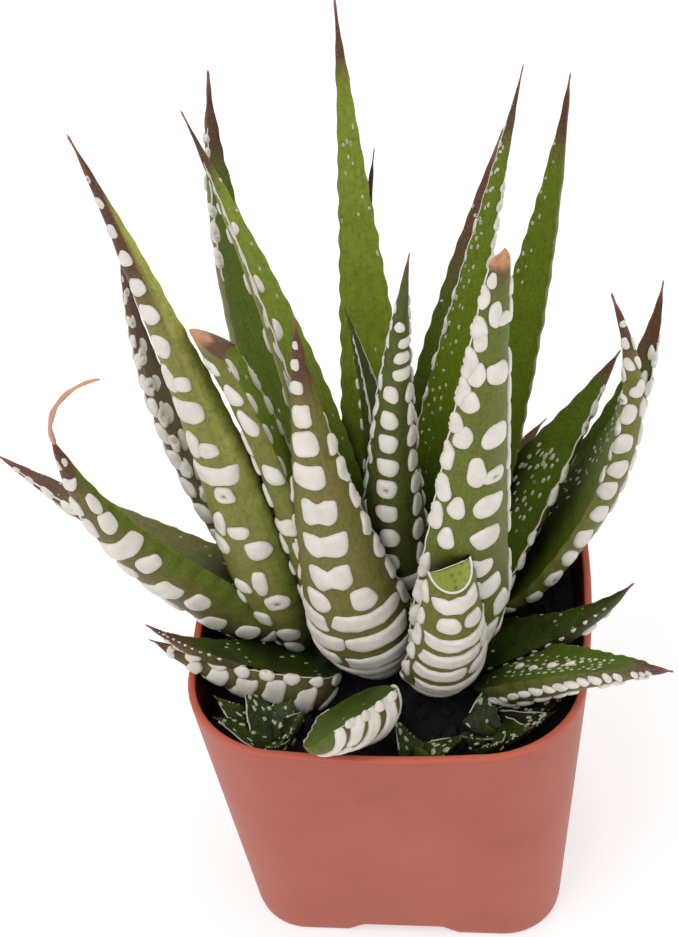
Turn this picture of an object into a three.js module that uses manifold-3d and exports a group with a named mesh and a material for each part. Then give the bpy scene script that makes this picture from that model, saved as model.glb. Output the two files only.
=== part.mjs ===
// A zebra haworthia in a small square nursery pot: a rosette of thick, tapering leaves with raised
// pale tubercles, three offsets at its foot, the short stem, the soil and the pot.
// Millimetres, +Z up. The origin is the centre of the pot's foot, and the pot's sides lie along X and Y.
import * as THREE from "three";
import { mergeVertices } from "three/addons/utils/BufferGeometryUtils.js";
import Module from "manifold-3d";

// Driving sizes of the pot
const POT_HEIGHT = 49;
const RIM_HALF = 29;
const FOOT_HALF = 23.8;
const RIM_CORNER = 15;
const FOOT_CORNER = 8.7;
const RIM_BOW = 0.6;
const CORNER_STEPS = 6;
const WALL = 1.2;
const FLOOR = 2.8;
const FLOOR_ROUND = { rise: 1.5, inset: 1 };
const FOOT_ROUND = [
  { rise: 0, inset: 0.9 },
  { rise: 0.7, inset: 0.2 },
  { rise: 2.2, inset: 0 },
];
const NOTCH = { width: 18, flat: 12, height: 1.6, depth: 6 };
const DRAIN = { radius: 3, from_centre: 13, sides: 16 };

// Soil, with a plain hole for the crown and one for each offset, and the stem that stands in the crown's hole
const SOIL_TOP = 41;
const SOIL_FOOT = { rise: 2, inset: 1.2, slack: 0.1 };
const SOIL_EDGE_DROP = 0.6;
const SOIL_LUMP = 0.45;
const LUMP_WAVES = [
  { around: 2.4, across: 31 },
  { around: 1.1, across: -17 },
];
const SOIL_RINGS = [0.93, 0.75, 0.58, 0.36, 0.12];
const CROWN_HOLE = { floor: 38, low_radius: 9, high_radius: 15, sides: 20 };
const OFFSET_HOLE = { floor: 38.6, radius: 3.4, sides: 10 };
const STEM = { high: 49, low_radius: 5, high_radius: 2.6, sides: 12 };

// Leaves in general
const CLEARANCE = 0.3;
const THICK = 0.48;
const DEPTH_POWER = 0.85;
const FOOT_SHARE = 0.35;
const FULL_WIDTH_FROM = 0.22;
const TAPER_FROM = 0.12;
const TIP_SHARE = 0.045;
const TUBERCLE = 0.5;
const TOOTH = 0.4;
const FULL_RELIEF_HALF = 3;
const INNER_FACE_UP_TO = 0.5;
const BAND_SHARE = 0.5;
const BANDS = { least: 4, spacing: 15 };
const SPACING_POWER = 1.12;
const SPINE_STEPS = 64;

// The section of a leaf, round from one margin: across, outward, and which side's tubercle it carries.
const SECTION = [
  [-1, 0, "margin"],
  [-0.5, 0.1, "face"],
  [0.5, 0.1, "face"],
  [1, 0, "margin"],
  [0.8, 0.6, "right"],
  [0.3, 0.98, "left"],
  [-0.3, 0.98, "right"],
  [-0.8, 0.6, "left"],
];

// Each leaf, from the middle of the rosette out, so that an outer leaf clasps those within it.
// at: the way round the stem where it is rooted; foot: its distance from the axis; lift: its height.
// aim: the way it leans; lean: degrees from upright at the foot and the tip; sweep: turn along its length.
// roll: turn about its own line; kept: the share of the natural length that a cut or dried end has left.
// thick: depth over width, where it isn't that of most leaves.
const LEAVES = {
  leaf_centre_young: {
    at: 150, foot: 0.5, lift: 47, aim: 149, lean: [-11, 14],
    length: 56.5, sweep: 15, width: 11.5,
  },
  leaf_centre: {
    at: 302, foot: 1.5, lift: 46, aim: 299, lean: [1, 22],
    length: 78.5, sweep: 1, width: 11.5,
  },
  leaf_right_tall: {
    at: 62, foot: 3.5, lift: 45, aim: 9, lean: [9, 22],
    length: 86.5, sweep: 42, width: 10.5, roll: 25,
  },
  leaf_back_left_bright: {
    at: 170, foot: 4, lift: 45, aim: 157, lean: [-3, 36],
    length: 83.5, sweep: -21, width: 12.5, roll: 12,
  },
  leaf_back_tallest: {
    at: 95, foot: 5, lift: 44, aim: 95, lean: [2, 17],
    length: 93, sweep: 3, width: 13.5,
  },
  leaf_front: {
    at: 256, foot: 6, lift: 43, aim: 221, lean: [12, -1],
    length: 67, sweep: -20, width: 17, roll: 50,
  },
  leaf_right_low: {
    at: 37, foot: 5.5, lift: 43, aim: 33, lean: [47, 36],
    length: 49.5, sweep: -6, width: 17, roll: 15,
  },
  leaf_back_left: {
    at: 112, foot: 10, lift: 43, aim: 133, lean: [49, -12],
    length: 86.5, sweep: -2, width: 15, roll: 10,
  },
  leaf_right_hooked: {
    at: 36, foot: 9.5, lift: 44, aim: 24, lean: [68, -17],
    length: 63, sweep: -38, width: 16,
  },
  leaf_back_right: {
    at: 55, foot: 8, lift: 43, aim: 46, lean: [30, 9],
    length: 84, sweep: -17, width: 13.5, roll: 25,
  },
  leaf_back_right_dark: {
    at: 76, foot: 10, lift: 44, aim: 55, lean: [5, 42],
    length: 71, sweep: 6, width: 12.5,
  },
  leaf_right_blunt: {
    at: 326, foot: 9, lift: 43, aim: 321, lean: [8, 12],
    length: 79.5, sweep: 2, width: 18, kept: 0.88,
  },
  leaf_left_blunt: {
    at: 209, foot: 8.5, lift: 43, aim: 200, lean: [0, 18],
    length: 62.5, sweep: -6, width: 10.5, roll: -8, kept: 0.53,
  },
  leaf_right_short: {
    at: 54, foot: 7, lift: 42, aim: 54, lean: [40, 67],
    length: 34, sweep: -10, width: 11,
  },
  leaf_right_outer: {
    at: 50, foot: 12, lift: 44, aim: 11, lean: [68, 22],
    length: 57.5, sweep: 55, width: 15, thick: 0.34,
  },
  leaf_rim_left_back: {
    at: 199, foot: 15, lift: 44.5, aim: 175, lean: [62, 67],
    length: 21.5, sweep: 0, width: 8, thick: 0.34,
  },
  leaf_left_dried: {
    at: 170, foot: 12, lift: 46.5, aim: 188, lean: [60, 9],
    length: 59, sweep: 50, width: 18, roll: 25,
  },
  leaf_left_outer: {
    at: 176, foot: 11, lift: 45, aim: 178, lean: [56, 82],
    length: 56, sweep: -28, width: 18, roll: 22, thick: 0.3,
  },
  leaf_left_tall: {
    at: 189, foot: 14.5, lift: 43, aim: 186, lean: [6, 15],
    length: 92, sweep: 11, width: 14, roll: 50,
  },
  leaf_front_cut: {
    at: 305, foot: 9.5, lift: 43, aim: 307, lean: [29, 5],
    length: 32.5, sweep: -13, width: 13.5, kept: 0.6,
  },
  leaf_back_hidden: {
    at: 92, foot: 16, lift: 43, aim: 60, lean: [-15, 20],
    length: 73, sweep: 0, width: 9,
  },
  leaf_rim_left_small: {
    at: 207, foot: 9, lift: 42, aim: 207, lean: [67, 33],
    length: 36, sweep: 14, width: 10,
  },
  leaf_rim_left_front: {
    at: 218, foot: 10.5, lift: 43, aim: 206, lean: [69, 58],
    length: 28.5, sweep: -20, width: 16, roll: 30,
  },
  leaf_rim_right_back: {
    at: 347, foot: 10, lift: 42, aim: 347, lean: [67, 35],
    length: 33, sweep: -3, width: 11,
  },
  leaf_rim_right_front: {
    at: 332, foot: 14, lift: 42.5, aim: 324, lean: [50, 50],
    length: 50, sweep: -22, width: 12.5,
  },
  leaf_left_behind: {
    at: 155, foot: 12.5, lift: 43, aim: 177, lean: [38, -3],
    length: 70, sweep: -12, width: 11.5,
  },
  leaf_low_back: {
    at: 100, foot: 10, lift: 42, aim: 100, lean: [60, 42],
    length: 34, sweep: 6, width: 13,
  },
  leaf_low_back_left: {
    at: 140, foot: 11, lift: 42, aim: 145, lean: [64, 36],
    length: 36, sweep: -8, width: 13,
  },
  leaf_low_back_right: {
    at: 66, foot: 11, lift: 42, aim: 64, lean: [66, 38],
    length: 32, sweep: 8, width: 12,
  },
  leaf_rim_front: {
    at: 263, foot: 17, lift: 49.5, aim: 252, lean: [70, 58],
    length: 17, sweep: 0, width: 14.5, roll: 34, kept: 0.72, thick: 0.42,
  },
};

// The thin dried end that curls over from one leaf's tip
const DRIED_CURL = {
  leaf: "leaf_left_dried",
  length: 10,
  radius: 0.55,
  thinning: 0.4,
  sunk: 1,
  lean: -118,
  stations: 9,
};

// Offsets: small rosettes of short keeled leaves at the foot of the plant, each on its own small heart
const OFFSETS = {
  offset_left: {
    x: -16,
    y: -20,
    leaves: [
      { aim: 158, lean: [72, 52], length: 10, width: 8 },
      { aim: 182, lean: [70, 50], length: 9, width: 7 },
      { aim: 128, lean: [40, 20], length: 11, width: 6 },
      { aim: 70, lean: [66, 44], length: 8, width: 6 },
      { aim: 300, lean: [64, 40], length: 6.5, width: 6 },
      { aim: 0, lean: [50, 30], length: 8, width: 6 },
    ],
  },
  offset_front: {
    x: 4.5,
    y: -23,
    leaves: [
      { aim: 8, lean: [74, 48], length: 8, width: 5 },
      { aim: 130, lean: [54, 34], length: 6, width: 4.5 },
      { aim: 240, lean: [66, 44], length: 4.5, width: 4 },
    ],
  },
  offset_right: {
    x: 13.5,
    y: -18.5,
    leaves: [
      { aim: 18, lean: [78, 62], length: 14, width: 7 },
      { aim: 2, lean: [76, 58], length: 11, width: 8 },
      { aim: 336, lean: [66, 46], length: 9.5, width: 8 },
      { aim: 300, lean: [66, 40], length: 8, width: 7 },
      { aim: 262, lean: [56, 34], length: 7, width: 6 },
      { aim: 80, lean: [60, 30], length: 7, width: 6 },
    ],
  },
};
const OFFSET_HEART = { radius: 2.6, top_share: 0.6, high: 45.2, sides: 10 };
const OFFSET_LEAF = { lift: 42.6, thick: 0.42, bands: 2 };

const LOOKS = {
  pot: new THREE.MeshStandardMaterial({ color: 0xb06a58, roughness: 0.55 }),
  soil: new THREE.MeshStandardMaterial({ color: 0x1c1714, roughness: 1 }),
  stem: new THREE.MeshStandardMaterial({ color: 0x6f7a45, roughness: 0.8 }),
  leaf: new THREE.MeshStandardMaterial({ color: 0x4c7a2a, roughness: 0.5 }),
  offset: new THREE.MeshStandardMaterial({ color: 0x2f5a26, roughness: 0.5 }),
};

const wasm = await Module();
wasm.setup();

const radians = THREE.MathUtils.degToRad;

// A closed geometry as a solid
function solidOf(geometry) {
  const plain = new THREE.BufferGeometry();
  plain.setAttribute("position", geometry.getAttribute("position"));
  if (geometry.index) plain.setIndex(geometry.index);
  const merged = mergeVertices(plain, 1e-4);
  return new wasm.Manifold(
    new wasm.Mesh({
      numProp: 3,
      vertProperties: new Float32Array(merged.attributes.position.array),
      triVerts: new Uint32Array(merged.index.array),
    }),
  );
}

// A solid's largest body as a named mesh
function meshOf(name, solid, look) {
  const body = solid.decompose().sort((a, b) => b.volume() - a.volume())[0];
  const { vertProperties, triVerts, numProp } = body.getMesh();
  const positions = new Float32Array((vertProperties.length / numProp) * 3);
  for (let i = 0; i * numProp < vertProperties.length; i++) {
    positions.set(vertProperties.subarray(i * numProp, i * numProp + 3), i * 3);
  }
  const geometry = new THREE.BufferGeometry();
  geometry.setAttribute("position", new THREE.BufferAttribute(positions, 3));
  geometry.setIndex(new THREE.BufferAttribute(triVerts, 1));
  geometry.computeVertexNormals();
  const mesh = new THREE.Mesh(geometry, look);
  mesh.name = name;
  return mesh;
}

// A skin over rings of points that all have the same count, closed by a fan at each end
function skin(rings) {
  const count = rings[0].length;
  const points = rings.flat();
  const ends = [rings[0], rings[rings.length - 1]].map((ring) =>
    ring.reduce((sum, p) => sum.add(p), new THREE.Vector3()).divideScalar(count),
  );
  const index = [];
  for (let j = 0; j + 1 < rings.length; j++) {
    for (let i = 0; i < count; i++) {
      const a = j * count + i;
      const b = j * count + ((i + 1) % count);
      index.push(a, b, b + count, a, b + count, a + count);
    }
  }
  const last = (rings.length - 1) * count;
  for (let i = 0; i < count; i++) {
    const next = (i + 1) % count;
    index.push(points.length, next, i);
    index.push(points.length + 1, last + i, last + next);
  }
  const geometry = new THREE.BufferGeometry().setFromPoints([...points, ...ends]);
  geometry.setIndex(index);
  return geometry;
}

// A closed skin as a solid, whichever way round its rings were laid
function skinSolid(rings) {
  const solid = solidOf(skin(rings));
  return solid.volume() > 0 ? solid : solidOf(skin([...rings].reverse()));
}

// The way that a leaf runs and the lateral and inward directions of its section, at a share of its length
function leafDirections(leaf, share) {
  const lean = radians(leaf.lean[0] + (leaf.lean[1] - leaf.lean[0]) * share);
  const aim = radians(leaf.aim + (leaf.sweep ?? 0) * share);
  const roll = radians(leaf.roll ?? 0);
  const along = new THREE.Vector3(
    Math.sin(lean) * Math.cos(aim),
    Math.sin(lean) * Math.sin(aim),
    Math.cos(lean),
  );
  const level = new THREE.Vector3(-Math.sin(aim), Math.cos(aim), 0);
  const inward = along.clone().cross(level);
  const across = level.clone().multiplyScalar(Math.cos(roll)).addScaledVector(inward, Math.sin(roll));
  inward.multiplyScalar(Math.cos(roll)).addScaledVector(level, -Math.sin(roll));
  return { along, across, inward };
}

// The middle line of a leaf, at rising shares of its length
function leafSpine(leaf, root, shares) {
  const step = 1 / SPINE_STEPS;
  const line = [root.clone()];
  for (let i = 0; i < SPINE_STEPS; i++) {
    const { along } = leafDirections(leaf, (i + 0.5) * step);
    line.push(line[i].clone().addScaledVector(along, leaf.length * step));
  }
  return shares.map((share) => {
    const at = Math.min(share * SPINE_STEPS, SPINE_STEPS - 1e-9);
    const i = Math.floor(at);
    return line[i].clone().lerp(line[i + 1], at - i);
  });
}

// Half the width and the depth of a leaf at a share of its length
function leafSize(leaf, share) {
  const natural = share * (leaf.kept ?? 1);
  const rise = Math.sin((Math.min(natural / FULL_WIDTH_FROM, 1) * Math.PI) / 2);
  const foot = FOOT_SHARE + (1 - FOOT_SHARE) * rise;
  const taper = Math.max(1 - Math.max(0, natural - TAPER_FROM) / (1 - TAPER_FROM), TIP_SHARE);
  const half = (leaf.width / 2) * foot * taper;
  const depth = (leaf.thick ?? THICK) * leaf.width * foot * taper ** DEPTH_POWER;
  return { half, depth };
}

// How far a point of the section stands out: whole bands low down, beads left and right in turn above,
// and teeth on the margins
function reliefAt(kind, share, station) {
  if (kind === "face" || station % 2 === 0) return 0;
  if (kind === "margin") return TOOTH;
  const side = station % 4 === 1 ? "left" : "right";
  return share < BAND_SHARE || kind === side ? TUBERCLE : 0;
}

// A ring of the section with its tubercles raised. A room ring is a smooth one that clears the whole leaf:
// everything is raised at once, it stands out by the clearance, and its inner face is flat.
function leafRing(leaf, centre, directions, share, station, room) {
  const { half, depth } = leafSize(leaf, share);
  const small = Math.min(1, half / FULL_RELIEF_HALF);
  return SECTION.map(([across, outward, kind]) => {
    const x = across * half;
    const y = outward * depth;
    const size = Math.hypot(x, y);
    const push = room ? TUBERCLE * small + CLEARANCE : reliefAt(kind, share, station) * small;
    const out = room && outward < INNER_FACE_UP_TO ? -CLEARANCE : y + (push * y) / size;
    return centre
      .clone()
      .addScaledVector(directions.across, x + (push * x) / size)
      .addScaledVector(directions.inward, -out);
  });
}

// The rings of a whole leaf, from foot to tip, or of the room that others leave it
function leafRings(leaf, root, bands, room = false) {
  const stations = 2 * bands + 1;
  const shares = Array.from({ length: stations }, (_, j) => (j / (stations - 1)) ** SPACING_POWER);
  const spine = leafSpine(leaf, root, shares);
  const rings = shares.map((share, j) => {
    return leafRing(leaf, spine[j], leafDirections(leaf, share), share, j, room);
  });
  if (room) {
    const ends = [rings[0], rings[rings.length - 1]];
    const shift = [-CLEARANCE, CLEARANCE];
    ends.forEach((ring, end) => {
      const { along } = leafDirections(leaf, end);
      ring.forEach((point) => point.addScaledVector(along, shift[end]));
    });
  }
  return rings;
}

// The rings of the dried curl, going on from the tip of its leaf
function curlRings(leaf, root) {
  const [tip] = leafSpine(leaf, root, [1]);
  const dried = {
    ...leaf,
    length: DRIED_CURL.length,
    lean: [leaf.lean[1], DRIED_CURL.lean],
    aim: leaf.aim + leaf.sweep,
    sweep: 0,
  };
  const shares = Array.from({ length: DRIED_CURL.stations }, (_, j) => j / (DRIED_CURL.stations - 1));
  const start = tip.addScaledVector(leafDirections(dried, 0).along, -DRIED_CURL.sunk);
  const spine = leafSpine(dried, start, shares);
  return shares.map((share, j) => {
    const { across, inward } = leafDirections(dried, share);
    const radius = DRIED_CURL.radius * (1 - DRIED_CURL.thinning * share);
    return SECTION.map((_, i) => {
      const turn = (2 * Math.PI * i) / SECTION.length;
      return spine[j]
        .clone()
        .addScaledVector(across, -radius * Math.cos(turn))
        .addScaledVector(inward, radius * Math.sin(turn));
    });
  });
}

// A cone with flat ends, upright on (x, y)
function frustum(x, y, low, high, lowRadius, highRadius, sides) {
  const geometry = new THREE.CylinderGeometry(highRadius, lowRadius, high - low, sides);
  geometry.rotateX(Math.PI / 2);
  geometry.translate(x, y, (low + high) / 2);
  return solidOf(geometry);
}

// The pot's outline at a height: a square with round corners and sides that bow out a little
function potOutline(z, inset) {
  const up = z / POT_HEIGHT;
  const half = THREE.MathUtils.lerp(FOOT_HALF, RIM_HALF, up) - inset;
  const corner = THREE.MathUtils.lerp(FOOT_CORNER, RIM_CORNER, up) - inset;
  const bow = RIM_BOW * up;
  const points = [];
  for (let quarter = 0; quarter < 4; quarter++) {
    const turn = (quarter * Math.PI) / 2;
    const middle = new THREE.Vector2(half, 0);
    points.push(middle.rotateAround(new THREE.Vector2(), turn));
    for (let i = 0; i <= CORNER_STEPS; i++) {
      const angle = (i / CORNER_STEPS) * (Math.PI / 2);
      const round = new THREE.Vector2(
        half - bow - corner + corner * Math.cos(angle),
        half - bow - corner + corner * Math.sin(angle),
      );
      points.push(round.rotateAround(new THREE.Vector2(), turn));
    }
  }
  return points.map((p) => new THREE.Vector3(p.x, p.y, z));
}

function buildPot() {
  const outside = skinSolid([
    ...FOOT_ROUND.map(({ rise, inset }) => potOutline(rise, inset)),
    potOutline(POT_HEIGHT, 0),
  ]);
  const inside = skinSolid([
    potOutline(FLOOR, WALL + FLOOR_ROUND.inset),
    potOutline(FLOOR + FLOOR_ROUND.rise, WALL),
    potOutline(POT_HEIGHT + 1, WALL),
  ]);
  let pot = outside.subtract(inside);
  const arch = new THREE.Shape();
  arch.moveTo(-NOTCH.width / 2, -1);
  arch.lineTo(NOTCH.width / 2, -1);
  arch.lineTo(NOTCH.width / 2, 0);
  arch.lineTo(NOTCH.flat / 2, NOTCH.height);
  arch.lineTo(-NOTCH.flat / 2, NOTCH.height);
  arch.lineTo(-NOTCH.width / 2, 0);
  arch.closePath();
  for (let quarter = 0; quarter < 4; quarter++) {
    const turn = (quarter * Math.PI) / 2;
    const notch = new THREE.ExtrudeGeometry(arch, { depth: NOTCH.depth + 2, bevelEnabled: false });
    notch.rotateX(Math.PI / 2);
    notch.translate(0, -(FOOT_HALF - NOTCH.depth), 0);
    notch.rotateZ(turn);
    pot = pot.subtract(solidOf(notch));
    const x = DRAIN.from_centre * Math.sin(turn);
    const y = -DRAIN.from_centre * Math.cos(turn);
    pot = pot.subtract(frustum(x, y, -1, FLOOR + 1, DRAIN.radius, DRAIN.radius, DRAIN.sides));
  }
  return pot;
}

// The soil fills the pot to below its rim, with a lumpy top and plain holes
function buildSoil(grow = 0) {
  const wall = WALL + CLEARANCE - grow;
  const rings = [
    potOutline(FLOOR + CLEARANCE - grow, wall + SOIL_FOOT.inset),
    potOutline(FLOOR + SOIL_FOOT.rise, wall + SOIL_FOOT.slack),
    potOutline(SOIL_TOP + grow - SOIL_EDGE_DROP, wall),
  ];
  for (const share of SOIL_RINGS) {
    const ring = potOutline(SOIL_TOP + grow, wall).map((p, i) => {
      const waves = LUMP_WAVES.map(({ around, across }) => Math.sin(i * around + share * across));
      const lump = SOIL_LUMP * (waves[0] + waves[1]);
      return new THREE.Vector3(p.x * share, p.y * share, p.z + lump);
    });
    rings.push(ring);
  }
  const { floor, low_radius, high_radius, sides } = CROWN_HOLE;
  const above = SOIL_TOP + 3;
  let soil = skinSolid(rings).subtract(
    frustum(0, 0, floor + grow, above, low_radius - grow, high_radius - grow, sides),
  );
  for (const { x, y } of Object.values(OFFSETS)) {
    const radius = OFFSET_HOLE.radius - grow;
    soil = soil.subtract(frustum(x, y, OFFSET_HOLE.floor + grow, above, radius, radius, OFFSET_HOLE.sides));
  }
  return soil;
}

// A rosette of short leaves fused to a small heart
function offsetSolid(offset, room = false) {
  const heart = OFFSET_HEART;
  const grow = room ? CLEARANCE : 0;
  const low = OFFSET_HOLE.floor + CLEARANCE - grow;
  const radius = heart.radius + grow;
  const root = new THREE.Vector3(offset.x, offset.y, OFFSET_LEAF.lift);
  const top = radius * heart.top_share;
  let whole = frustum(offset.x, offset.y, low, heart.high + grow, radius, top, heart.sides);
  for (const leaf of offset.leaves) {
    const rings = leafRings({ ...leaf, thick: OFFSET_LEAF.thick }, root, OFFSET_LEAF.bands, room);
    whole = whole.add(skinSolid(rings));
  }
  return whole;
}

function buildStem(grow = 0) {
  const low = CROWN_HOLE.floor + CLEARANCE - grow;
  return frustum(0, 0, low, STEM.high + grow, STEM.low_radius + grow, STEM.high_radius + grow, STEM.sides);
}

const plant = new THREE.Group();
plant.add(meshOf("pot", buildPot(), LOOKS.pot));
plant.add(meshOf("soil", buildSoil(), LOOKS.soil));
plant.add(meshOf("stem", buildStem(), LOOKS.stem));

// Room that the pieces so far take up, each with its clearance
const taken = [buildSoil(CLEARANCE), buildStem(CLEARANCE)];

function clearOf(solid) {
  return taken.reduce((rest, room) => rest.subtract(room), solid);
}

for (const [name, leaf] of Object.entries(LEAVES)) {
  const at = radians(leaf.at);
  const root = new THREE.Vector3(leaf.foot * Math.cos(at), leaf.foot * Math.sin(at), leaf.lift);
  const bands = Math.round(BANDS.least + leaf.length / BANDS.spacing);
  let solid = skinSolid(leafRings(leaf, root, bands));
  if (name === DRIED_CURL.leaf) solid = solid.add(skinSolid(curlRings(leaf, root)));
  plant.add(meshOf(name, clearOf(solid), LOOKS.leaf));
  taken.push(skinSolid(leafRings(leaf, root, bands, true)));
}

for (const [name, offset] of Object.entries(OFFSETS)) {
  plant.add(meshOf(name, clearOf(offsetSolid(offset)), LOOKS.offset));
  taken.push(offsetSolid(offset, true));
}

export default plant;
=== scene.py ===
"""A zebra haworthia in a small square nursery pot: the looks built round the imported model.

Sizes are in millimetres until a mesh is made, in the part's own frame: the origin is the centre of the
pot's foot, +Z is up and -Y is the side that faces the viewer.
"""

import math

import bmesh
import bpy
import numpy as np
from mathutils import Matrix, Vector


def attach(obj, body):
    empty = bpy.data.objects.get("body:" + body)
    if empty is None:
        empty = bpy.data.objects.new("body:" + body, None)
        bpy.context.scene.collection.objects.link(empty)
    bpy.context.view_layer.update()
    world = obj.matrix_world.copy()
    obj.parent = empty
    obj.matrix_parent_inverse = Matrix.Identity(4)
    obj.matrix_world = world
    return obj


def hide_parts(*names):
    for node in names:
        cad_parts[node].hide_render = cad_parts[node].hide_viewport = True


MM = 0.001

# The camera, at the photograph's angle
CAMERA = {
    "azimuth": 10.65, "elevation": 42.23, "roll": -7.3, "distance": 286.6, "target": (-10.8, 29.3, 49.0),
}
FOCAL_PX = 1800
PHOTO_HEIGHT = 937
SENSOR = 36

# The pot
POT_HEIGHT = 49
RIM_HALF = 29
FOOT_HALF = 23.8
RIM_CORNER = 15
FOOT_CORNER = 8.7
RIM_BOW = 0.6
WALL = 1.2
FLOOR = 2.8
NOTCH = {"width": 20, "flat": 11, "height": 2.3, "depth": 6}
DRAIN = {"radius": 3, "from_centre": 13}

# The soil and the stem
SOIL = {"top": 41, "grains": 620, "flat_half": 13, "corner": 11.5}
CLEARANCE = 0.3
STEM = {"low": 38.3, "high": 49, "low_radius": 5, "high_radius": 2.6}

# Leaves in general
THICK = 0.48
FOOT_SHARE = 0.35
FULL_WIDTH_FROM = 0.22
TAPER_FROM = 0.12
TIP_SHARE = 0.02
FACE_HOLLOW = 0.1
SPINE_STEPS = 240
FACE_ARC = 0.66
BACK_ARC = 1.54
END_FROM = 0.82
SKIN_LUMPS = 0.07
BLUSH = {"from": 0.93, "over": 0.05}
DRIED_OVER = 0.012
SCALLOP = {"height": 0.12, "pitch": 3.6, "full_from": 2.5}

# Tubercles
BEAD_HEIGHT = 0.42
BEAD_SUNK = 0.2
PIT_CHANCE = 0.08
GAP_CHANCE = 0.06
FIRST_ROW = 2.5
LAST_ROW = 0.95
FILL_PITCH = 4.2
WOBBLE = ((0.06, 2), (0.05, 3), (0.025, 5))
CUT_HEM = ((1.0, 0.0), (1.0, 0.14), (0.9, 0.14), (0.9, 0.0))

# Each leaf, from the middle of the rosette out, by the values that LEAF_VALUES names.
# at: the way round the stem where it is rooted; foot: its distance from the axis; lift: its height.
# aim: the way it leans; lean: degrees from upright at the foot and the tip; sweep: turn along its length.
# roll: turn about its own line; kept: the share of the natural length that a cut or dried end has left;
# thick: its depth as a share of its width.
LEAF_VALUES = ("at", "foot", "lift", "aim", "lean", "length", "sweep", "width", "roll", "kept", "thick")
LEAVES = {
    "leaf_centre_young": (150, 0.5, 47, 149, (-11, 14), 56.5, 15, 11.5),
    "leaf_centre": (302, 1.5, 46, 299, (1, 22), 78.5, 1, 11.5),
    "leaf_right_tall": (62, 3.5, 45, 9, (9, 22), 86.5, 42, 10.5, 25),
    "leaf_back_left_bright": (170, 4, 45, 157, (-3, 36), 83.5, -21, 12.5, 12),
    "leaf_back_tallest": (95, 5, 44, 95, (2, 17), 93, 3, 13.5),
    "leaf_front": (256, 6, 43, 221, (12, -1), 67, -20, 17, 50),
    "leaf_right_low": (37, 5.5, 43, 33, (47, 36), 49.5, -6, 17, 15),
    "leaf_back_left": (112, 10, 43, 133, (49, -12), 86.5, -2, 15, 10),
    "leaf_right_hooked": (36, 9.5, 44, 24, (68, -17), 63, -38, 16),
    "leaf_back_right": (55, 8, 43, 46, (30, 9), 84, -17, 13.5, 25),
    "leaf_back_right_dark": (76, 10, 44, 55, (5, 42), 71, 6, 12.5),
    "leaf_right_blunt": (326, 9, 43, 321, (8, 12), 79.5, 2, 18, 0, 0.88),
    "leaf_left_blunt": (209, 8.5, 43, 200, (0, 18), 62.5, -6, 10.5, -8, 0.53),
    "leaf_right_short": (54, 7, 42, 54, (40, 67), 34, -10, 11),
    "leaf_right_outer": (50, 12, 44, 11, (68, 22), 57.5, 55, 15, 0, 1, 0.34),
    "leaf_rim_left_back": (199, 15, 44.5, 175, (62, 67), 21.5, 0, 8, 0, 1, 0.34),
    "leaf_left_dried": (170, 12, 46.5, 188, (60, 9), 59, 50, 18, 25),
    "leaf_left_outer": (176, 11, 45, 178, (56, 82), 56, -28, 18, 22, 1, 0.3),
    "leaf_left_tall": (189, 14.5, 43, 186, (6, 15), 92, 11, 14, 50),
    "leaf_front_cut": (305, 9.5, 43, 307, (29, 5), 32.5, -13, 13.5, 0, 0.6),
    "leaf_back_hidden": (92, 16, 43, 60, (-15, 20), 73, 0, 9),
    "leaf_rim_left_small": (207, 9, 42, 207, (67, 33), 36, 14, 10),
    "leaf_rim_left_front": (218, 10.5, 43, 206, (69, 58), 28.5, -20, 16, 30),
    "leaf_rim_right_back": (347, 10, 42, 347, (67, 35), 33, -3, 11),
    "leaf_rim_right_front": (332, 14, 42.5, 324, (50, 50), 50, -22, 12.5),
    "leaf_left_behind": (155, 12.5, 43, 177, (38, -3), 70, -12, 11.5),
    "leaf_low_back": (100, 10, 42, 100, (60, 42), 34, 6, 13),
    "leaf_low_back_left": (140, 11, 42, 145, (64, 36), 36, -8, 13),
    "leaf_low_back_right": (66, 11, 42, 64, (66, 38), 32, 8, 12),
    "leaf_rim_front": (263, 17, 49.5, 252, (70, 58), 17, 0, 14.5, 34, 0.72, 0.42),
}


def plain_rows(smiles, pairs, turns):
    """The usual rows: wide ones at the foot, then pairs, then single ones to the left and right by turns."""
    return ["smile"] * smiles + ["pair"] * pairs + ["left", "right"] * turns


def both(kind, low, high):
    """The same beads up both margins."""
    return [(-1, kind, low, high), (1, kind, low, high)]


def dressed(tone, brown, ruddy, size, rows, edges=(), dots=0.1, **more):
    """What a leaf wears, by name."""
    return dict(tone=tone, brown=brown, ruddy=ruddy, size=size, rows=rows, edges=edges, dots=dots, **more)


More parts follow.
